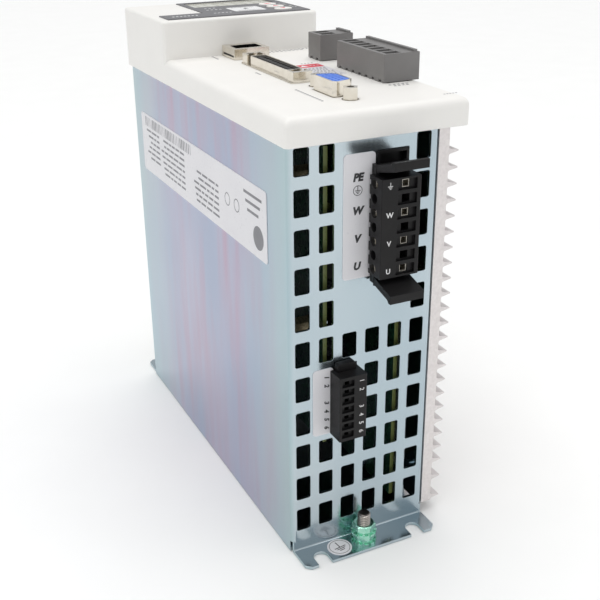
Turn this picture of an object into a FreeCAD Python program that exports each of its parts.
import math
import os
from types import SimpleNamespace

import FreeCAD
import Part
import Sketcher
from FreeCAD import Placement, Rotation, Vector

# A compact servo drive that stands on its mounting plane, in millimetres.
# X runs across the width, away from the labelled side wall and towards the cooling fins.
# Y runs along the height that the drive has on a wall: motor terminals at -Y, supply terminals at +Y.
# Z points out of the panel: the mounting plane is z = 0 and the connectors are at the front.
# Every sub-part is drawn in housing coordinates, whose zero is the corner of the sheet housing at
# the side wall, the motor end and the mounting plane, and is then moved so that the row's zero is
# the middle of the mounting plane.

HOUSING = {
    "overall_length": 190.0,      # over both mounting flanges
    "body_length": 166.8,         # sheet housing without the flanges
    "body_width": 58.3,           # side wall to the heatsink's inner face
    "sheet": 1.2,                 # zinc-plated steel
    "bend": 2.0,                  # outer bend radius
    "chassis_top": 164.8,
    "wall_bottom": 5.0,           # relief between the side wall and the flange
    "return_depth": 12.0,         # folds that carry the heatsink
    "flange_chamfer": 2.0,
    "slot_width": 5.9,
    "slot_first": 8.5,
    "slot_spacing_x": 40.9,
    "slot_spacing_y": 182.0,
    "vent_first_x": 2.05,
    "vent_pitch_x": 9.38,
    "vent_width": 5.8,
    "vent_first_z": 10.05,
    "vent_pitch_z": 14.0,
    "vent_height": 9.6,
    "vent_corner": 0.8,
    "back_lip": 12.0,
}
HEATSINK = {
    "sink_plate": 4.3,
    "sink_bottom": 5.0,
    "sink_top": 159.8,
    "fin_reach": 4.2,
    "fin_root": 3.2,
    "fin_pitch": 6.06,
    "fin_first": 23.8,
    "fin_count": 22,
    "fin_low": 6.6,               # the two lowest fins stand wider apart
    "fin_second": 15.9,
}
COVER = {
    "cover_edge": 1.1,            # how far the moulding stands proud of the sheet
    "cover_right": 69.6,
    "cover_rim": 160.0,
    "cover_top": 169.8,
    "cover_wall": 2.3,
    "cover_skin": 2.2,
    "cover_round": 3.0,
    "cover_corner": 1.6,
    "block_near": 115.0,          # display block, from here to the supply end
    "block_top": 185.2,
    "block_round": 1.2,
}
PANEL = {
    "overlay_left": 2.6,
    "overlay_step": 22.5,
    "overlay_right": 67.6,
    "overlay_near": 118.0,
    "overlay_mid": 129.6,
    "overlay_far": 164.6,
    "film": 0.4,
    "window_left": 25.0,
    "window_right": 64.0,
    "window_near": 147.0,
    "window_far": 162.6,
    "key_x": 57.6,
    "key_first": 124.4,
    "key_pitch": 8.3,
    "key_length": 8.0,
    "key_width": 5.6,
    "key_rise": 0.5,
    "key_travel": 0.3,
    "key_bottom": 181.6,
    "lamp_x": 65.0,
    "lamp_first": 132.6,
    "lamp_pitch": 6.2,
    "lamp_size": 1.8,
}
# Pluggable terminal blocks share one shape, drawn with the poles along Y and the wires leaving at +Z.
OUTPUT = {"at_x": 30.0, "at_z": 112.2, "poles": 7, "pitch": 5.08, "end": 0.0, "width": 15.3,
          "exposed": 8.2, "gap": 1.3, "spare_low": 6.0, "spare_high": 7.3, "neck_left": 4.3, "neck_right": 14.7, "neck_depth": 6.0,
          "header_depth": 12.0, "well_left": 6.2, "well_right": 13.7, "well_height": 3.7,
          "bore": 3.0, "screw_radius": 1.75, "screw_level": 4.6}
MAINS = dict(OUTPUT)
SAFETY = {"at_x": 15.8, "at_z": 50.2, "poles": 7, "pitch": 3.5, "end": 0.8, "width": 11.0,
          "exposed": 7.6, "gap": 0.4, "spare_low": 1.0, "spare_high": 1.0, "neck_left": 2.7, "neck_right": 9.9, "neck_depth": 5.0,
          "header_depth": 9.0, "well_left": 0.9, "well_right": 5.8, "well_height": 2.6,
          "bore": 1.8, "screw_radius": 1.1, "screw_level": 3.4}
BUS = {"at_x": 54.3, "at_z": 31.9, "poles": 7, "pitch": 5.08, "end": 0.3, "width": 15.0,
       "exposed": 10.2, "gap": 0.2, "spare_low": 0.0, "spare_high": 0.0, "neck_left": 2.5, "neck_right": 10.9, "neck_depth": 5.0,
       "header_depth": 7.4, "well_left": 1.4, "well_right": 7.6, "well_height": 3.8,
       "bore": 2.8, "screw_radius": 1.75, "screw_level": 5.6}
BACKUP = dict(BUS, at_z=82.4, poles=2)
FRONT_SOCKETS = {
    "jack_left": 24.6,
    "jack_near": 101.4,
    "jack_width": 15.6,
    "jack_length": 13.4,
    "jack_top": 174.1,
    "jack_bottom": 156.0,
    "jack_skin": 0.35,
    "data_left": 24.6,            # fifty-way data connector
    "data_width": 9.0,
    "data_near": 47.0,
    "data_length": 48.0,
    "data_shell_near": 54.0,
    "data_shell_length": 34.2,
    "data_shell_width": 7.0,
    "data_top": 173.6,
    "data_bottom": 154.0,
    "feedback_x": 31.2,           # fifteen-way feedback connector
    "feedback_y": 27.6,
    "feedback_spacing": 24.99,
    "feedback_length": 16.3,
    "feedback_width": 8.3,
    "feedback_top": 175.2,
    "feedback_bottom": 157.0,
}
INSIDE = {
    "board": 1.6,
    "control_x": 15.0,
    "control_near": 4.0,
    "control_bottom": 44.0,
    "control_top": 158.0,
    "io_x": 22.6,
    "io_bottom": 128.0,
    "power_x": 44.4,
    "power_near": 3.0,
    "power_bottom": 12.0,
    "power_top": 158.4,
    "bus_board_z": 160.6,
    "display_board_z": 176.0,
    "capacitor_radius": 12.4,
    "capacitor_length": 25.0,
    "module_depth": 11.5,
    "standoff_radius": 2.6,
}
STUD = {
    "stud_x": 28.3,
    "stud_y": -5.3,
    "stud_radius": 2.5,
    "stud_top": 13.8,
    "nut_flats": 8.0,
    "nut_height": 3.2,
    "washer_radius": 5.0,
    "washer_height": 0.8,
}
LABELS = {
    "label_film": 0.2,
    "output_label_left": 20.5,
    "output_label_right": 32.7,
    "output_label_bottom": 110.2,
    "output_label_top": 155.2,
    "safety_label_left": 8.9,
    "safety_label_right": 17.2,
    "safety_label_bottom": 50.1,
    "safety_label_top": 77.3,
    "ground_label_x": 17.4,
    "ground_label_y": -5.8,
    "ground_label_radius": 4.8,
    "rating_label_near": 17.0,
    "rating_label_far": 156.0,
    "rating_label_bottom": 113.8,
    "rating_label_top": 140.6,
    "warning_label_left": 39.8,
    "warning_label_right": 51.2,
    "warning_label_near": 54.0,
    "warning_label_far": 78.3,
}

doc = FreeCAD.newDocument("servo_drive")


class Size:
    """A measure that keeps the sheet expression it comes from beside its number."""

    def __init__(self, value, text=None):
        self.value = float(value)
        self.text = text or repr(float(value))

    def __add__(self, other):
        return join(self, "+", other)

    def __radd__(self, other):
        return join(other, "+", self)

    def __sub__(self, other):
        return join(self, "-", other)

    def __rsub__(self, other):
        return join(other, "-", self)

    def __mul__(self, other):
        return join(self, "*", other)

    def __rmul__(self, other):
        return join(other, "*", self)

    def __truediv__(self, other):
        return join(self, "/", other)

    def __neg__(self):
        return join(0, "-", self)


def as_size(value):
    return value if isinstance(value, Size) else Size(value)


def join(left, sign, right):
    left = as_size(left)
    right = as_size(right)
    results = {
        "+": left.value + right.value,
        "-": left.value - right.value,
        "*": left.value * right.value,
        "/": left.value / (right.value or 1.0),
    }
    return Size(results[sign], "(" + left.text + " " + sign + " " + right.text + ")")


def fill_sheet(groups):
    """Write each group into the sheet and return its sizes by name."""
    sheet = doc.addObject("Spreadsheet::Sheet", "Dims")
    sizes = {}
    row = 1
    for prefix, group in groups:
        for name, value in group.items():
            alias = prefix + name
            sheet.set("A" + str(row), alias)
            sheet.set("B" + str(row), str(value))
            sheet.setAlias("B" + str(row), alias)
            sizes[alias] = Size(value, "Dims." + alias)
            row += 1
    doc.recompute()
    return sizes


SIZES = fill_sheet([
    ("", HOUSING), ("", HEATSINK), ("", COVER), ("", PANEL), ("", FRONT_SOCKETS), ("", INSIDE),
    ("", STUD), ("", LABELS), ("output_", OUTPUT), ("mains_", MAINS), ("safety_", SAFETY),
    ("bus_", BUS), ("backup_", BACKUP)])
d = SimpleNamespace(**SIZES)
nodes = []
starts = {}
DIRECTIONS = {"x": Vector(1, 0, 0), "y": Vector(0, 1, 0), "z": Vector(0, 0, 1)}


# ---------------------------------------------------------------- tools for drawing

def bind(item, path, size):
    item.setExpression(path, as_size(size).text)


def move(item, x, y, z):
    starts[item.Name] = (x, y, z)
    for axis, size in zip("xyz", (x, y, z)):
        bind(item, "Placement.Base." + axis, size)


def keep(item, at=(0, 0, 0), turn=0):
    """Make item a sub-part: turn it about X, set it at a housing point, centre the housing.
    An item that already stands somewhere in the housing stays there."""
    if turn:
        item.Placement = Placement(Vector(), Rotation(DIRECTIONS["x"], turn))
    at = starts.get(item.Name, at)
    move(item, at[0] - d.body_width / 2, at[1] - d.body_length / 2, at[2])
    item.Label = item.Name
    nodes.append(item)
    return item


def block(name, low, high):
    item = doc.addObject("Part::Box", name)
    for path, start, stop in zip(("Length", "Width", "Height"), low, high):
        bind(item, path, stop - start)
    move(item, *low)
    return item


def rod(name, start, axis, radius, length):
    item = doc.addObject("Part::Cylinder", name)
    bind(item, "Radius", radius)
    bind(item, "Height", length)
    item.Placement = Placement(Vector(), Rotation(DIRECTIONS["z"], DIRECTIONS[axis]))
    move(item, *start)
    return item


def hexagon(name, start, axis, flats, length):
    item = doc.addObject("Part::Prism", name)
    item.Polygon = 6
    bind(item, "Circumradius", flats / math.sqrt(3))
    bind(item, "Height", length)
    item.Placement = Placement(Vector(), Rotation(DIRECTIONS["z"], DIRECTIONS[axis]))
    move(item, *start)
    return item


def cut(name, base, tools):
    item = doc.addObject("Part::Cut", name)
    item.Base = base
    item.Tool = tools[0] if len(tools) == 1 else group(name + "_tools", tools)
    return item


def join_solids(name, pieces):
    item = doc.addObject("Part::MultiFuse", name)
    item.Shapes = pieces
    return item


def group(name, pieces):
    item = doc.addObject("Part::Compound", name)
    item.Links = pieces
    return item


PLANES = {"xy": ("XY_Plane", 1), "xz": ("XZ_Plane", -1), "yz": ("YZ_Plane", 1)}


def origin_feature(body, role):
    return next(item for item in body.Origin.OriginFeatures if item.Role == role)


def sketch_on(body, plane, level):
    """An empty sketch on one of the body's planes, at a level along the plane's axis."""
    role, sign = PLANES[plane]
    sketch = body.newObject("Sketcher::SketchObject", body.Name + "_sketch")
    sketch.AttachmentSupport = [(origin_feature(body, role), "")]
    sketch.MapMode = "FlatFace"
    bind(sketch, "AttachmentOffset.Base.z", as_size(level) * sign)
    return sketch


def draw(sketch, corners):
    """A closed outline. A corner is (x, y), or (x, y, radius) when an arc leads to it,
    turning left for a positive radius; each point and radius is bound to the sheet."""
    points = [Vector(as_size(c[0]).value, as_size(c[1]).value, 0) for c in corners]
    for index, corner in enumerate(corners):
        start, stop = points[index - 1], points[index]
        if len(corner) == 2:
            sketch.addGeometry(Part.LineSegment(start, stop), False)
            continue
        radius = as_size(corner[2]).value
        chord = stop - start
        half = chord.Length / 2
        rise = abs(radius) - math.sqrt(max(radius * radius - half * half, 0))
        side = Vector(chord.y, -chord.x, 0).normalize() * math.copysign(rise, radius)
        sketch.addGeometry(Part.Arc(start, start + chord / 2 + side, stop), False)
    count = len(corners)
    for index, corner in enumerate(corners):
        turned = len(corner) == 3 and as_size(corner[2]).value < 0
        entry, leave = (2, 1) if turned else (1, 2)
        following = corners[(index + 1) % count]
        next_entry = 2 if len(following) == 3 and as_size(following[2]).value < 0 else 1
        sketch.addConstraint(Sketcher.Constraint(
            "Coincident", index, leave, (index + 1) % count, next_entry))
        for kind, size in (("DistanceX", corner[0]), ("DistanceY", corner[1])):
            number = sketch.addConstraint(Sketcher.Constraint(
                kind, -1, 1, index, leave, as_size(size).value))
            bind(sketch, "Constraints[" + str(number) + "]", size)
        if len(corner) == 3:
            number = sketch.addConstraint(Sketcher.Constraint(
                "Radius", index, abs(as_size(corner[2]).value)))
            bind(sketch, "Constraints[" + str(number) + "]",
                 corner[2] if as_size(corner[2]).value > 0 else -as_size(corner[2]))


def rectangle(left, low, right, high, radius=None):
    if radius is None:
        return [(left, low), (right, low), (right, high), (left, high)]
    return [(right - radius, low), (right, low + radius, radius), (right, high - radius),
            (right - radius, high, radius), (left + radius, high), (left, high - radius, radius),
            (left, low + radius), (left + radius, low, radius)]


def disc(sketch, x, y, radius):
    centre = Vector(as_size(x).value, as_size(y).value, 0)
    curve = sketch.addGeometry(Part.Circle(centre, DIRECTIONS["z"], as_size(radius).value), False)
    for kind, size in (("DistanceX", x), ("DistanceY", y)):
        number = sketch.addConstraint(Sketcher.Constraint(
            kind, -1, 1, curve, 3, as_size(size).value))
        bind(sketch, "Constraints[" + str(number) + "]", size)
    number = sketch.addConstraint(Sketcher.Constraint("Radius", curve, as_size(radius).value))
    bind(sketch, "Constraints[" + str(number) + "]", radius)


def feature(body, kind, plane, start, stop, corners):
    """Pad or Pocket between two levels along the plane's axis; corners may be one (x, y, radius)."""
    sketch = sketch_on(body, plane, start)
    if isinstance(corners, tuple):
        disc(sketch, *corners)
    else:
        draw(sketch, corners)
    item = body.newObject("PartDesign::" + kind, body.Name + "_" + kind.lower())
    item.Profile = sketch
    bind(item, "Length", stop - start)
    forward = PLANES[plane][1] > 0
    item.Reversed = forward if kind == "Pocket" else not forward
    body.Tip = item
    return item


def pad(body, plane, start, stop, corners):
    return feature(body, "Pad", plane, start, stop, corners)


def pocket(body, plane, start, stop, corners):
    return feature(body, "Pocket", plane, start, stop, corners)


def repeat(body, item, axis, pitch, count):
    if count < 2:
        return item
    pattern = body.newObject("PartDesign::LinearPattern", body.Name + "_row")
    pattern.Originals = [item]
    pattern.Direction = (origin_feature(body, axis + "_Axis"), [""])
    bind(pattern, "Length", pitch * (count - 1))
    pattern.Occurrences = count
    body.Tip = pattern
    return pattern


def new_body(name):
    return doc.addObject("PartDesign::Body", name)


def blend(body, kind, radius, wanted):
    """Fillet or Chamfer the body's edges whose middle and ends satisfy wanted(edge)."""
    doc.recompute()
    base = body.Tip
    names = ["Edge" + str(i + 1) for i, edge in enumerate(base.Shape.Edges) if wanted(edge)]
    if not names:
        raise RuntimeError(body.Name + " has no such edge")
    item = body.newObject("PartDesign::" + kind, body.Name + "_" + kind.lower())
    item.Base = (base, names)
    bind(item, "Radius" if kind == "Fillet" else "Size", radius)
    body.Tip = item
    return item


def upright_at(across, along):
    """Picks straight edges along Z that pass through any of these X and Y."""
    def wanted(edge):
        return (edge_runs(edge, 2) and any(near(edge, 0, x) for x in across)
                and any(near(edge, 1, y) for y in along))
    return wanted


def edge_runs(edge, axis):
    if len(edge.Vertexes) != 2:
        return False
    step = edge.Vertexes[1].Point - edge.Vertexes[0].Point
    return abs(abs(step[axis]) - step.Length) < 0.001 and abs(edge.Length - step.Length) < 0.001


def near(edge, axis, size):
    return all(abs(v.Point[axis] - as_size(size).value) < 0.01 for v in edge.Vertexes)


# ---------------------------------------------------------------- sheet-metal housing

W = d.body_width
L = d.body_length
T = d.sheet
FLANGE = (d.overall_length - L) / 2


def foot(near_end):
    """The lower end of an end wall with its mounting flange, as seen along X."""
    outline = [(-FLANGE, 0), (T, 0), (T, d.wall_bottom), (0, d.wall_bottom), (0, T), (-FLANGE, T)]
    if near_end:
        return outline
    return [(L - y, z) for y, z in reversed(outline)]


def vent_cutters(name, start, closed):
    """Rounded cutters for a wall's vents, six columns of eleven, without the closed patches,
    which are given as (first column, last column, first row, last row)."""
    prism = Part.makeBox(d.vent_width.value, 2 * T.value, d.vent_height.value)
    corners = [edge for edge in prism.Edges if edge_runs(edge, 1)]
    prism = prism.makeFillet(d.vent_corner.value, corners)
    copies = []
    for column in range(6):
        for row in range(11):
            if any(a <= column <= b and low <= row <= high for a, b, low, high in closed):
                continue
            copy = prism.copy()
            copy.translate(Vector(
                (d.vent_first_x + d.vent_pitch_x * column).value, start - T.value / 2,
                (d.vent_first_z + d.vent_pitch_z * row).value))
            copies.append(copy)
    item = doc.addObject("Part::Feature", name)
    item.Shape = Part.makeCompound(copies)
    return item


def chassis():
    """Side wall and both vented end walls, folded from one sheet with the flanges."""
    body = new_body("chassis_sheet")
    fold = d.return_depth
    pad(body, "xy", d.wall_bottom, d.chassis_top, [
        (0, 0), (W, 0), (W, fold), (W - T, fold), (W - T, T), (T, T), (T, L - T), (W - T, L - T),
        (W - T, L - fold), (W, L - fold), (W, L), (0, L)])
    blend(body, "Fillet", d.bend, upright_at((0, W), (0, L)))
    for near_end in (True, False):
        pad(body, "yz", 0.6, W - 0.6, foot(near_end))
    relief = T + 1.0
    pad(body, "yz", 0, T, rectangle(relief, 0.1, L - relief, d.wall_bottom + 0.5))
    blend(body, "Chamfer", d.flange_chamfer, upright_at((0.6, W - 0.6), (-FLANGE, L + FLANGE)))
    blend(body, "Fillet", T, lambda e: edge_runs(e, 0) and near(e, 2, 0)
          and (near(e, 1, T) or near(e, 1, L - T)))
    blend(body, "Fillet", T / 2, lambda e: edge_runs(e, 0) and near(e, 2, T)
          and (near(e, 1, 0) or near(e, 1, L)))
    slot_in = (L - d.slot_spacing_y) / 2
    for x in (d.slot_first, d.slot_first + d.slot_spacing_x):
        half = d.slot_width / 2
        outline = [(x - half, -FLANGE - 1), (x + half, -FLANGE - 1), (x + half, slot_in),
                   (x, slot_in + half, half), (x - half, slot_in, half)]
        pocket(body, "xy", 0, T, outline)
        pocket(body, "xy", 0, T, [(c[0], L - c[1]) + ((-c[2],) if len(c) == 3 else ())
                                  for c in outline])
    pocket(body, "xy", 0, T, (d.stud_x, d.stud_y, d.stud_radius))
    room = 0.2
    for name, y in (("output", 0), ("mains", L - T), ("safety", 0)):
        left, right, low, high = header_faces(name)
        pocket(body, "xz", y, y + T, rectangle(left - room, low - room, right + room, high + room))
    keep(cut("chassis", body, [
        vent_cutters("motor_end_vents", 0, [(2, 4, 6, 10), (1, 2, 3, 4)]),
        vent_cutters("supply_end_vents", (L - T).value, [(2, 4, 6, 10)])]))


def header_faces(name):
    """Left, right, low and high faces in housing X and Z of a header in an end wall."""
    size = connector(name)
    length = size.poles * size.pitch + size.end * 2
    below, above = size.spare_low, size.spare_high
    if name == "mains":           # it stands the other way up
        below, above = above, below
    return (size.at_x + size.neck_left - 1, size.at_x + size.neck_right + 1,
            size.at_z - below, size.at_z + length + above)


def back_plate():
    """Flat closing plate between the end walls, with a lip along each long edge.
    The lips stop short of the folds that carry the heatsink."""
    body = new_body("back_plate")
    left, right = T + 0.1, W - 0.1
    end = T + 1.0
    lip_end = d.return_depth + 1.0
    pad(body, "xz", end, L - end, rectangle(left, 0, right, T))
    for start in (left, right - T):
        pad(body, "xz", lip_end, L - lip_end, rectangle(start, 0, start + T, d.back_lip))
    keep(body)


def heatsink():
    """Extruded plate with tapered cooling fins that run along Y."""
    body = new_body("heatsink")
    face = W + d.sink_plate
    inset = 0.4
    pad(body, "xz", inset, L - inset, rectangle(W, d.sink_bottom, face, d.sink_top))
    for level, count in ((d.fin_first, int(d.fin_count.value)), (d.fin_second, 1), (d.fin_low, 1)):
        fin = pad(body, "xz", inset, L - inset, fin_outline(face, level))
        repeat(body, fin, "Z", d.fin_pitch, count)
    keep(body)


def fin_outline(face, level):
    """One fin: a hollow-sided root on the plate and a rounded tip."""
    root = d.fin_root / 2
    tip = face + d.fin_reach
    nose = 0.35
    half = 0.3
    hollow = 0.9
    return [(face - 0.1, level - root), (face, level - root), (face + 0.6, level - root + 0.7, -hollow),
            (tip - nose, level - half), (tip - nose, level + half, nose),
            (face + 0.6, level + root - 0.7), (face, level + root, -hollow), (face - 0.1, level + root)]


# ---------------------------------------------------------------- pluggable terminal blocks

def connector(name):
    return SimpleNamespace(**{
        key[len(name) + 1:]: size for key, size in SIZES.items() if key.startswith(name + "_")
        and key[len(name) + 1:] in OUTPUT})


def stand(name):
    """Where a terminal block stands in the housing: its corner, and its turn about X."""
    size = connector(name)
    length = size.poles * size.pitch + size.end * 2
    if name in ("output", "safety"):
        return (size.at_x, 0, size.at_z), 90
    if name == "mains":
        return (size.at_x, L, size.at_z + length), -90
    return (size.at_x, size.at_z, d.cover_top), 0


def pole_count(name):
    return int(connector(name).poles.value)


def plug(name, levers=False):
    """A plug: block with a wire well at each pole, and a hollow neck that enters the header."""
    body = new_body(name + "_plug")
    size = connector(name)
    count = pole_count(name)
    length = size.poles * size.pitch + size.end * 2
    top = size.gap + size.exposed
    room = 0.3
    pad(body, "xy", size.gap, top, rectangle(0, 0, size.width, length))
    pad(body, "xy", -size.neck_depth, size.gap + 0.1, rectangle(
        size.neck_left + room, room, size.neck_right - room, length - room))
    if levers:
        ear = 1.2
        for low, high in ((length, length + 3.4), (-3.4, 0)):
            for x in (1.0, size.width - 1.0 - ear):
                pad(body, "yz", x, x + ear, rectangle(low - 0.1, 0.9, high + 0.1, 3.6))
    blend(body, "Fillet", 0.3, lambda e: edge_runs(e, 1) and near(e, 2, top)
          and (near(e, 0, 0) or near(e, 0, size.width)))
    if levers:
        for hinge_y in (length + 1.9, -1.9):
            pocket(body, "yz", 0.5, size.width - 0.5, (hinge_y, 2.0, 0.85))
    first = size.end + size.pitch / 2
    middle = (size.well_left + size.well_right) / 2
    well = pocket(body, "xy", top - 1.2, top, rectangle(
        size.well_left, first - size.well_height / 2, size.well_right, first + size.well_height / 2))
    repeat(body, well, "Y", size.pitch, count)
    bore = pocket(body, "xy", size.gap + 0.8, top - 1.2, rectangle(
        middle - size.bore / 2, first - size.bore / 2, middle + size.bore / 2, first + size.bore / 2))
    repeat(body, bore, "Y", size.pitch, count)
    neck = (size.neck_left + size.neck_right) / 2
    half = size.pitch * 0.3
    pin_way = pocket(body, "xy", -size.neck_depth, size.gap - 0.2, rectangle(
        neck - half, first - half, neck + half, first + half))
    repeat(body, pin_way, "Y", size.pitch, count)
    if name != "safety":
        way = pocket(body, "yz", *screw_span(name), (first, size.screw_level, size.screw_radius))
        repeat(body, way, "Y", size.pitch, count)
        slot = pocket(body, "yz", 0, 0.8, rectangle(
            first - 0.9, size.gap, first + 0.9, size.gap + 0.8))
        repeat(body, slot, "Y", size.pitch, count)
    if name in ("bus", "backup"):
        pad(body, "xy", top, top + 0.8, rectangle(size.width - 2.4, 0.4, size.width - 0.9, length - 0.4))
    keep(body, *stand(name))


def header(name):
    """The socket on the board, open towards the plug."""
    body = new_body(name + "_header")
    size = connector(name)
    length = size.poles * size.pitch + size.end * 2
    wall = 1.0
    mouth = {"safety": 0.2, "bus": -0.4, "backup": -0.4}.get(name, 0.6)
    pad(body, "xy", -size.header_depth, mouth, rectangle(
        size.neck_left - wall, -size.spare_low, size.neck_right + wall, length + size.spare_high))
    pocket(body, "xy", -size.neck_depth - 0.8, mouth, rectangle(
        size.neck_left, 0, size.neck_right, length))
    if name == "safety":                 # a hood over the plug's upper end
        hood = (size.neck_left - 0.9, size.neck_right - 0.8)
        end = length + 0.05
        pad(body, "xy", 0, 3.0, rectangle(hood[0], end, hood[1], length + 0.95))
        pad(body, "xy", 0.4, 3.0, rectangle(hood[0], end, hood[1], length + 3.0))
        blend(body, "Fillet", 0.8, lambda e: edge_runs(e, 2) and near(e, 1, length + 3.0))
    if name in ("output", "mains"):      # a latch recess beyond each end of the plug
        for low, high in ((-size.spare_low, 0), (length, length + size.spare_high)):
            pocket(body, "xy", mouth - 3.0, mouth, rectangle(
                size.neck_left, low + wall, size.neck_right, high - wall))
    keep(body, *stand(name))


def pin_levels(name):
    """Middles of the poles that are wired: every other one on the power connectors."""
    size = connector(name)
    step = 2 if name in ("output", "mains") else 1
    return [size.end + size.pitch * (0.5 + i) for i in range(0, pole_count(name), step)]


def header_pins(names):
    """Contact pins of all the headers, one for each wired pole."""
    rows = []
    for name in names:
        size = connector(name)
        middle = (size.neck_left + size.neck_right) / 2
        half = 0.45 if name != "safety" else 0.35
        row = group(name + "_pins", [
            block(name + "_pin_" + str(index), (middle - half, y - half, -size.neck_depth - 0.8),
                  (middle + half, y + half, -1.0)) for index, y in enumerate(pin_levels(name))])
        place, turn = stand(name)
        row.Placement = Placement(Vector(), Rotation(DIRECTIONS["x"], turn))
        move(row, *place)
        rows.append(row)
    keep(group("header_pins", rows))


def screw_span(name):
    """Start and stop in X of a plug's screw holes, on the side away from the wire wells."""
    size = connector(name)
    if name in ("output", "mains"):
        return 0, size.well_left - 1.2
    return size.well_right + 1.2, size.width


def terminal_screws(name):
    """Slotted clamping screws that lie along X in the side of a plug."""
    size = connector(name)
    screws = []
    sunk = 0.9
    depth = 0.5
    start, stop = screw_span(name)
    if name in ("output", "mains"):
        start = start + sunk
        slot_start = start
    else:
        stop = stop - sunk
        slot_start = stop - depth
    for index, y in enumerate(pin_levels(name)):
        label = name + "_screw_" + str(index)
        shank = rod(label, (start, y, size.screw_level), "x", size.screw_radius - 0.1, stop - start)
        slot = block(label + "_slot", (slot_start, y - size.screw_radius, size.screw_level - 0.25),
                     (slot_start + depth, y + size.screw_radius, size.screw_level + 0.25))
        screws.append(cut(label + "_slotted", shank, [slot]))
    keep(group(name + "_terminal_screws", screws), *stand(name))


def wire_clamps(name):
    """Square metal cages at the bottom of the wire wells."""
    size = connector(name)
    middle = (size.well_left + size.well_right) / 2
    low = size.gap + 0.9
    high = size.gap + size.exposed - 1.6
    half = size.bore / 2 - 0.05
    cages = []
    for index, y in enumerate(pin_levels(name)):
        label = name + "_cage_" + str(index)
        outer = block(label, (middle - half, y - half, low), (middle + half, y + half, high))
        inner = block(label + "_way", (middle - half + 0.35, y - half + 0.35, low + 0.4),
                      (middle + half - 0.35, y + half - 0.35, high))
        cages.append(cut(label + "_hollow", outer, [inner]))
    keep(group(name + "_wire_clamps", cages), *stand(name))


def lever(name, upper):
    """Ejector lever: a pin and heel between the plug's ears, and a wide flared thumb paddle."""
    size = connector(name)
    length = size.poles * size.pitch
    label = name + ("_upper_lever" if upper else "_lower_lever")
    body = new_body(label)

    def flip(points):
        moved = [(length + p[0] if upper else -as_size(p[0]),) + p[1:] for p in points]
        return moved if upper else moved[::-1]

    hinge_y = 1.9 if upper else -1.9
    hinge_y = length + hinge_y if upper else hinge_y
    pad(body, "yz", 2.4, size.width - 2.4, (hinge_y, 2.0, 1.4))
    pad(body, "yz", 2.4, size.width - 2.4, flip([(0.9, 2.0), (3.1, 2.0), (4.1, 5.2), (1.8, 5.2)]))
    pad(body, "yz", 0.9, size.width - 1.0, flip([
        (1.2, 4.2), (3.8, 4.2), (6.1, 13.2), (7.1, 14.0), (7.1, 15.4), (4.1, 15.4)]))
    pad(body, "yz", 1.1, size.width - 1.1, (hinge_y, 2.0, 0.8))
    keep(body, *stand(name))


# ---------------------------------------------------------------- front cover and key panel

def key_levels():
    return [d.key_first + d.key_pitch * i for i in range(3)]


def lamp_levels():
    return [d.lamp_first + d.lamp_pitch * i for i in range(2)]


def front_cover():
    """White moulding: a shallow tray over the connectors and a raised block for the display."""
    body = new_body("front_cover")
    left, right = -d.cover_edge, d.cover_right
    low, high = -d.cover_edge, L + d.cover_edge
    pad(body, "xy", d.cover_rim, d.cover_top, rectangle(left, low, right, high, d.cover_corner))
    blend(body, "Fillet", d.cover_round, lambda e: near(e, 2, d.cover_top)
          and all(v.Point.y < d.block_near.value - 20 or near(e, 0, left) or near(e, 0, right)
                  for v in e.Vertexes))
    pad(body, "xy", d.cover_rim, d.block_top, rectangle(left, d.block_near, right, high, d.cover_corner))
    blend(body, "Fillet", d.block_round, lambda e: near(e, 2, d.block_top))
    wall = d.cover_wall
    pocket(body, "xy", d.cover_rim, d.cover_top - d.cover_skin, rectangle(
        left + wall, low + wall, right - wall, high - wall))
    pocket(body, "xy", d.cover_rim, d.block_top - d.cover_skin, rectangle(
        left + wall, d.block_near + wall, right - wall, high - wall))
    pocket(body, "xy", d.cover_rim, d.cover_rim + 5, rectangle(-0.05, -0.05, W + 0.05, L + 0.05))
    skin = (d.cover_top - d.cover_skin - 0.1, d.cover_top)
    room = 0.2
    pocket(body, "xy", *skin, rectangle(
        d.jack_left - room, d.jack_near - room, d.jack_left + d.jack_width + room,
        d.jack_near + d.jack_length + room))
    pocket(body, "xy", *skin, rectangle(
        d.data_left - room, d.data_near - room, d.data_left + d.data_width + room,
        d.data_near + d.data_length + room, 1.0))
    half_length, half_width = d.feedback_length / 2 + 0.4, d.feedback_width / 2 + 0.4
    pocket(body, "xy", *skin, rectangle(
        d.feedback_x - half_width, d.feedback_y - half_length,
        d.feedback_x + half_width, d.feedback_y + half_length, 1.2))
    for side in (-0.5, 0.5):
        pocket(body, "xy", *skin, (d.feedback_x, d.feedback_y + d.feedback_spacing * side, 3.1))
    for name in ("bus", "backup"):
        size = connector(name)
        length = size.poles * size.pitch + size.end * 2
        grow = 1.0 + room
        pocket(body, "xy", *skin, rectangle(
            size.at_x + size.neck_left - grow, size.at_z - room,
            size.at_x + size.neck_right + grow, size.at_z + length + room))
    skin = (d.block_top - d.cover_skin - 0.1, d.block_top)
    pocket(body, "xy", *skin, rectangle(d.window_left, d.window_near, d.window_right, d.window_far))
    for y in key_levels():
        pocket(body, "xy", *skin, key_outline(y, 0.15))
    for y in lamp_levels():
        pocket(body, "xy", *skin, (d.lamp_x, y, d.lamp_size / 2))
    keep(body)


def key_outline(y, grow):
    half_x = d.key_length / 2 + grow
    half_y = d.key_width / 2 + grow
    return rectangle(d.key_x - half_x, y - half_y, d.key_x + half_x, y + half_y, half_y - 0.05)


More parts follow.
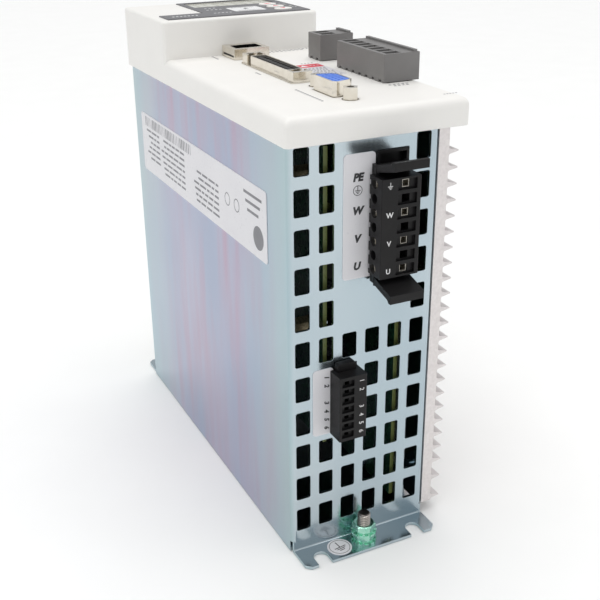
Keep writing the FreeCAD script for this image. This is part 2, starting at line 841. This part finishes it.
def keypad_overlay():
    """Printed film on the display block, open over the display, the keys and the lamps."""
    body = new_body("keypad_overlay")
    low = d.block_top
    high = d.block_top + d.film
    pad(body, "xy", low, high, [
        (d.overlay_left, d.overlay_near), (d.overlay_right, d.overlay_near),
        (d.overlay_right, d.overlay_far), (d.overlay_step, d.overlay_far),
        (d.overlay_step, d.overlay_mid), (d.overlay_left, d.overlay_mid)])
    pocket(body, "xy", low, high, rectangle(
        d.window_left, d.window_near, d.window_right, d.window_far))
    for y in key_levels():
        pocket(body, "xy", low, high, key_outline(y, 0.15))
    for y in lamp_levels():
        pocket(body, "xy", low, high, (d.lamp_x, y, d.lamp_size / 2))
    keep(body)


def display_window():
    low = d.block_top - 1.2
    edge = 0.1
    keep(block("display_window", (d.window_left + edge, d.window_near + edge, low),
               (d.window_right - edge, d.window_far - edge, d.block_top - 0.05)))


def display_module():
    """Housing of the numeric display, with a well for each of its four digits."""
    body = new_body("display_module")
    low = d.display_board_z + d.board
    high = d.block_top - d.cover_skin - 0.1
    left, right = d.window_left + 0.6, d.window_right - 0.6
    pad(body, "xy", low, high, rectangle(left, d.window_near + 0.6, right, d.window_far - 0.6))
    step = (right - left) / 4
    well = pocket(body, "xy", high - 1.0, high, rectangle(
        left + 1.2, d.window_near + 2.0, left + step - 1.2, d.window_far - 2.0, 1.0))
    repeat(body, well, "X", step, 4)
    keep(body)


def panel_keys():
    for name, y in zip(("down_key", "up_key", "enter_key"), key_levels()):
        body = new_body(name)
        pad(body, "xy", d.key_bottom, d.block_top + d.film + d.key_rise, key_outline(y, 0))
        pad(body, "xy", d.key_bottom, d.key_bottom + 0.8, key_outline(y, 0.9))
        blend(body, "Fillet", 0.25, lambda e: near(e, 2, d.block_top + d.film + d.key_rise))
        keep(body)


def key_switches():
    pieces = []
    low = d.display_board_z + d.board
    for index, y in enumerate(key_levels()):
        label = "switch_" + str(index)
        base = block(label, (d.key_x - 3, y - 3, low), (d.key_x + 3, y + 3, low + 2.6))
        stem = rod(label + "_stem", (d.key_x, y, low + 2.6), "z", 1.6, d.key_bottom - 0.4 - low - 2.6)
        pieces.append(join_solids(label + "_whole", [base, stem]))
    keep(group("key_switches", pieces))


def status_lamps():
    """Light pipes that end flush in the overlay."""
    low = d.display_board_z + d.board
    pipes = [rod("lamp_" + str(i), (d.lamp_x, y, low), "z", d.lamp_size / 2 - 0.1,
                 d.block_top + d.film - low) for i, y in enumerate(lamp_levels())]
    keep(group("status_lamps", pipes))


# ---------------------------------------------------------------- sockets on the front

def ethernet_jack():
    """Tinned shell round a black eight-way jack."""
    left, near_y = d.jack_left, d.jack_near
    right, far_y = left + d.jack_width, near_y + d.jack_length
    skin = d.jack_skin
    shell = new_body("ethernet_jack_shell")
    pad(shell, "xy", d.jack_bottom, d.jack_top, rectangle(left, near_y, right, far_y))
    pocket(shell, "xy", d.jack_bottom, d.jack_top - skin, rectangle(
        left + skin, near_y + skin, right - skin, far_y - skin))
    mouth = rectangle(left + 1.9, near_y + 2.6, right - 1.9, far_y - 3.0)
    pocket(shell, "xy", d.jack_top - skin, d.jack_top, mouth)
    pocket(shell, "yz", left, left + skin, rectangle(
        near_y + 1.0, d.cover_top + 0.9, far_y - 1.0, d.cover_top + 1.7))
    keep(shell)
    insert = new_body("ethernet_jack_insert")
    room = skin + 0.05
    pad(insert, "xy", d.jack_bottom, d.jack_top - skin - 0.05, rectangle(
        left + room, near_y + room, right - room, far_y - room))
    pocket(insert, "xy", d.jack_top - 13.0, d.jack_top - skin, mouth)
    pocket(insert, "xy", d.jack_top - 13.0, d.jack_top - skin, rectangle(
        left + 4.8, far_y - 3.2, right - 4.8, far_y - 1.6))
    keep(insert)
    wires = []
    for index in range(8):
        x = left + d.jack_width / 2 + 1.02 * (index - 3.5)
        wires.append(block("jack_contact_" + str(index), (x - 0.2, near_y + 2.7, d.jack_top - 12.9),
                           (x + 0.2, near_y + 3.2, d.jack_top - 3.0)))
    keep(group("ethernet_contacts", wires))


def data_connector():
    """Fifty-way connector: plated shell with a latch bracket at each end, and its insert."""
    left, right = d.data_left, d.data_left + d.data_width
    near_y, far_y = d.data_near, d.data_near + d.data_length
    shell = new_body("data_connector_shell")
    pad(shell, "xy", d.data_bottom, d.cover_top + 0.3, rectangle(left, near_y, right, far_y, 0.8))
    middle = (left + right) / 2
    wide = d.data_shell_width / 2
    start = d.data_shell_near
    stop = d.data_shell_near + d.data_shell_length
    pad(shell, "xy", d.cover_top - 1, d.data_top, rectangle(middle - wide, start, middle + wide, stop, 1.2))
    for low, high in ((near_y + 0.4, near_y + 2.4), (far_y - 2.4, far_y - 0.4)):
        pad(shell, "xy", d.cover_top - 1, d.data_top + 0.2, rectangle(
            middle - wide - 0.4, low, middle + wide + 0.4, high))
    for low, high in ((near_y + 2.3, start - 1.6), (stop + 1.6, far_y - 2.3)):
        for x in (middle - wide - 0.4, middle + wide - 0.6):
            pad(shell, "xy", d.cover_top - 1, d.data_top + 0.2, rectangle(x, low, x + 1.0, high))
    skin = 0.6
    pocket(shell, "xy", d.data_bottom + 1, d.data_top, rectangle(
        middle - wide + skin, start + skin, middle + wide - skin, stop - skin, 0.8))
    keep(shell)
    insert = new_body("data_connector_insert")
    room = skin + 0.05
    pad(insert, "xy", d.data_bottom + 1, d.data_top - 0.5, rectangle(
        middle - wide + room, start + room, middle + wide - room, stop - room, 0.7))
    for x in (middle - 1.9, middle + 1.0):
        pocket(insert, "xy", d.data_top - 5.5, d.data_top - 0.5, rectangle(
            x, start + 2.4, x + 0.9, stop - 2.4))
    keep(insert)


def d_outline(grow):
    """D-shaped outline of the feedback connector, its long side towards the side wall."""
    half_l = d.feedback_length / 2 + grow
    half_w = d.feedback_width / 2 + grow
    x, y = d.feedback_x, d.feedback_y
    slant = 1.4
    cut_off = 1.2
    return [(x - half_w, y - half_l + cut_off), (x - half_w + cut_off, y - half_l),
            (x + half_w - cut_off, y - half_l + slant), (x + half_w, y - half_l + slant + cut_off),
            (x + half_w, y + half_l - slant - cut_off), (x + half_w - cut_off, y + half_l - slant),
            (x - half_w + cut_off, y + half_l), (x - half_w, y + half_l - cut_off)]


def feedback_connector():
    """Fifteen-way high-density connector: shell, blue insert and two jackscrews."""
    x, y = d.feedback_x, d.feedback_y
    shell = new_body("feedback_connector_shell")
    reach = d.feedback_spacing / 2 + 2.8
    skin = 0.45
    pad(shell, "xy", d.cover_top - 3.6, d.cover_top - 2.8, rectangle(
        x - 6.2, y - reach, x + 6.2, y + reach, 1.0))
    pad(shell, "xy", d.cover_top - 2.9, d.feedback_top, d_outline(0))
    pocket(shell, "xy", d.cover_top - 3.6, d.feedback_top, d_outline(-skin))
    for side in (-0.5, 0.5):
        pocket(shell, "xy", d.cover_top - 3.6, d.cover_top - 2.8, (x, y + d.feedback_spacing * side, 1.6))
    keep(shell)
    insert = new_body("feedback_connector_insert")
    pad(insert, "xy", d.feedback_bottom, d.feedback_top - 0.3, d_outline(-skin - 0.05))
    for x_row, shift in ((x - 2.0, 0.0), (x, 1.14), (x + 2.0, 0.0)):
        hole = pocket(insert, "xy", d.feedback_top - 4.5, d.feedback_top - 0.3, (
            x_row, y - 5.15 + shift, 0.5))
        repeat(insert, hole, "Y", as_size(2.29), 5)
    keep(insert)
    jacks = []
    for side in (-0.5, 0.5):
        label = "jackscrew_near" if side < 0 else "jackscrew_far"
        place = (x, y + d.feedback_spacing * side)
        body = hexagon(label, place + (d.cover_top - 2.75,), "z", 4.8, 7.0)
        shank = rod(label + "_shank", place + (d.cover_top - 9.0,), "z", 1.42, 7.0)
        hole = rod(label + "_thread", place + (d.cover_top - 0.5,), "z", 1.25, 5.0)
        jacks.append(cut(label + "_tapped", join_solids(label + "_whole", [body, shank]), [hole]))
    keep(group("feedback_jackscrews", jacks))


# ---------------------------------------------------------------- boards and power parts

def drilled_board(name, axis, low, high, holes):
    """A circuit board with its fixing holes, given as starts of rods along the axis."""
    base = block(name + "_blank", low, high)
    drills = [rod(name + "_hole_" + str(i), start, axis, 1.6, d.board + 2)
              for i, start in enumerate(holes)]
    keep(cut(name, base, drills))


def control_holes():
    return [(y, z) for y in (d.control_near + 6, L - d.control_near - 6)
            for z in (d.control_bottom + 48, d.control_top - 10)]


def power_holes():
    return [(y, z) for y in (22, L - 22) for z in (d.power_bottom + 6, d.power_top - 60)]


def boards():
    x = d.control_x
    drilled_board("control_board", "x", (x, d.control_near, d.control_bottom),
                  (x + d.board, L - d.control_near, d.control_top),
                  [(x - 1, y, z) for y, z in control_holes()])
    x = d.power_x
    notch_depth = 16.0
    blank = block("power_board_blank", (x, d.power_near, d.power_bottom),
                  (x + d.board, L - d.power_near, d.power_top))
    tools = [rod("power_hole_" + str(i), (x - 1, y, z), "x", 1.6, d.board + 2)
             for i, (y, z) in enumerate(power_holes())]
    for name, low, high in (("output", 0, notch_depth), ("mains", L - notch_depth, L)):
        faces = header_faces(name)
        tools.append(block("power_notch_" + name, (x - 1, low, faces[2] - 1),
                           (x + 3, high, faces[3] + 1)))
    keep(cut("power_board", blank, tools))
    drilled_board("io_board", "x", (d.io_x, 8, d.io_bottom), (d.io_x + d.board, 113, d.control_top),
                  [(d.io_x - 1, y, d.io_bottom + 5) for y in (14, 107)])
    z = d.bus_board_z
    drilled_board("bus_board", "z", (42.5, 28, z), (66.4, 96, z + d.board), [
        (46, 32, z - 1), (46, 92, z - 1)])
    z = d.display_board_z
    drilled_board("display_board", "z", (20, 119, z), (66.4, L - 3, z + d.board), [
        (22.5, 121.5, z - 1), (22.5, L - 6, z - 1)])


def board_standoffs():
    """Hexagon spacers from the side wall to the control board and from the heatsink to the power board."""
    pieces = []
    flats = d.standoff_radius * 2
    for index, (y, z) in enumerate(control_holes()):
        pieces.append(hexagon("wall_spacer_" + str(index), (T, y, z), "x", flats, d.control_x - T))
    start = d.power_x + d.board
    for index, (y, z) in enumerate(power_holes()):
        pieces.append(hexagon("sink_spacer_" + str(index), (start, y, z), "x", flats, W - start))
    keep(group("board_standoffs", pieces))


def pan_screws():
    """Pan-head screws of the two large boards and of the folds that carry the heatsink."""
    pieces = []
    radius = 2.8
    head = 2.0
    for index, (y, z) in enumerate(control_holes()):
        start = (d.control_x + d.board, y, z)
        pieces.append(rod("control_screw_" + str(index), start, "x", radius, head))
    for index, (y, z) in enumerate(power_holes()):
        pieces.append(rod("power_screw_" + str(index), (d.power_x - head, y, z), "x", radius, head))
    for index, (y, z) in enumerate((y, z) for y in (7, L - 7) for z in (20, 145)):
        pieces.append(rod("sink_screw_" + str(index), (W - T - head, y, z), "x", radius, head))
    keep(group("pan_screws", pieces))


def bus_capacitors():
    """Six electrolytic cans lying on the power board."""
    cans = []
    for row, z in enumerate((58, 88)):
        for column, y in enumerate((52, 80, 108)):
            label = "can_" + str(row) + str(column)
            can = rod(label, (d.power_x - d.capacitor_length, y, z), "x",
                      d.capacitor_radius, d.capacitor_length)
            groove = block(label + "_score", (d.power_x - d.capacitor_length, y - 7, z - 0.3),
                           (d.power_x - d.capacitor_length + 0.4, y + 7, z + 0.3))
            cans.append(cut(label + "_scored", can, [groove]))
    keep(group("bus_capacitors", cans))


def power_parts():
    """The other parts of the power stage on the power board."""
    inner = d.power_x
    keep(block("power_module", (W - d.module_depth, 56, 50), (W, 112, 98)))
    keep(block("precharge_relay", (inner - 16, 123, 97), (inner, 141, 124)))
    keep(group("film_capacitors", [
        block("film_capacitor_" + str(i), (inner - 15, 24 + 14 * i, 128), (inner, 34 + 14 * i, 152))
        for i in range(3)]))
    ring = doc.addObject("Part::Torus", "filter_choke")
    bind(ring, "Radius1", 10.5)
    bind(ring, "Radius2", 5.0)
    ring.Placement = Placement(Vector(), Rotation(DIRECTIONS["z"], DIRECTIONS["x"]))
    move(ring, inner - 5.0, 137, 56)
    keep(ring)
    keep(block("supply_transformer", (inner - 20, 26, 100), (inner, 42, 122)))
    chip = d.control_x + d.board
    keep(group("control_chips", [
        block("chip_" + str(i), (chip, 40 + 30 * i, 70), (chip + 1.6, 54 + 30 * i, 84))
        for i in range(4)]))
    keep(block("board_link", (chip, 30, 130), (d.io_x, 90, 138)))


# ---------------------------------------------------------------- ground stud, fasteners, labels

def ground_terminal():
    x, y = d.stud_x, d.stud_y
    step = d.washer_height + d.nut_height
    keep(rod("ground_stud", (x, y, 0), "z", d.stud_radius, d.stud_top))
    nuts = []
    washers = []
    bore = 0.02
    for index in range(2):
        low = T + step * index
        washer = rod("washer_" + str(index), (x, y, low), "z", d.washer_radius, d.washer_height)
        teeth = [block_on_circle("tooth_" + str(index) + "_" + str(i), x, y, low, i * 30)
                 for i in range(12)]
        hole = rod("washer_hole_" + str(index), (x, y, low - 1), "z", d.stud_radius + bore, 4)
        washers.append(cut("washer_cut_" + str(index), washer, teeth + [hole]))
        low = low + d.washer_height
        nut = hexagon("nut_" + str(index), (x, y, low), "z", d.nut_flats, d.nut_height)
        hole = rod("nut_hole_" + str(index), (x, y, low - 1), "z", d.stud_radius + bore, 6)
        nuts.append(cut("nut_cut_" + str(index), nut, [hole]))
    keep(group("ground_nuts", nuts))
    keep(group("toothed_washers", washers))


def block_on_circle(name, x, y, z, angle):
    """A notch cutter at the rim of a toothed washer."""
    item = doc.addObject("Part::Box", name)
    for path, size in (("Length", 1.4), ("Width", 0.9), ("Height", 2.0)):
        bind(item, path, size)
    item.Placement = Placement(Vector(), Rotation(DIRECTIONS["z"], angle))
    reach = d.washer_radius - 0.9
    turn = math.radians(angle)
    side = 0.45
    move(item, x + reach * math.cos(turn) + side * math.sin(turn),
         y + reach * math.sin(turn) - side * math.cos(turn), z - 0.5)
    return item


def labels():
    film = d.label_film
    low = d.cover_top
    for name, left in (("output", d.output_label_left), ("safety", d.safety_label_left)):
        body = new_body(name + "_label")
        pad(body, "xz", -film, 0, rectangle(
            left, SIZES[name + "_label_bottom"], SIZES[name + "_label_right"],
            SIZES[name + "_label_top"], 1.4))
        keep(body)
    keep(rod("ground_label", (d.ground_label_x, d.ground_label_y, T), "z", d.ground_label_radius, film))
    body = new_body("rating_label")
    pad(body, "yz", -film, 0, rectangle(
        d.rating_label_near, d.rating_label_bottom, d.rating_label_far, d.rating_label_top, 1.5))
    keep(body)
    body = new_body("warning_label")
    pad(body, "xy", low, low + film, rectangle(
        d.warning_label_left, d.warning_label_near, d.warning_label_right, d.warning_label_far, 0.8))
    keep(body)


# ---------------------------------------------------------------- the whole drive

def check_and_write():
    doc.recompute()
    for item in doc.Objects:
        if "Invalid" in item.State or "Error" in item.State:
            raise RuntimeError(item.Name + " did not recompute: " + str(item.State))
        if item.isDerivedFrom("PartDesign::Pocket"):
            if item.BaseFeature.Shape.Volume - item.Shape.Volume < 0.001:
                raise RuntimeError(item.Name + " cuts nothing")
    os.makedirs("parts", exist_ok=True)
    for item in nodes:
        shape = item.Shape
        if shape.isNull() or not shape.isValid() or not shape.Solids:
            raise RuntimeError(item.Label + " has no valid solid")
        shape.exportStep("parts/" + item.Label + ".step")
    print(len(nodes), "sub-parts written")


chassis()
back_plate()
heatsink()
front_cover()
keypad_overlay()
display_window()
display_module()
panel_keys()
key_switches()
status_lamps()
ethernet_jack()
data_connector()
feedback_connector()
CONNECTORS = ("output", "mains", "safety", "bus", "backup")
for connector_name in CONNECTORS:
    header(connector_name)
    if connector_name != "mains":
        plug(connector_name, connector_name == "output")
header_pins(CONNECTORS)
lever("output", True)
lever("output", False)
wire_clamps("output")
for connector_name in ("output", "bus", "backup"):
    terminal_screws(connector_name)
boards()
board_standoffs()
pan_screws()
bus_capacitors()
power_parts()
ground_terminal()
labels()
check_and_write()
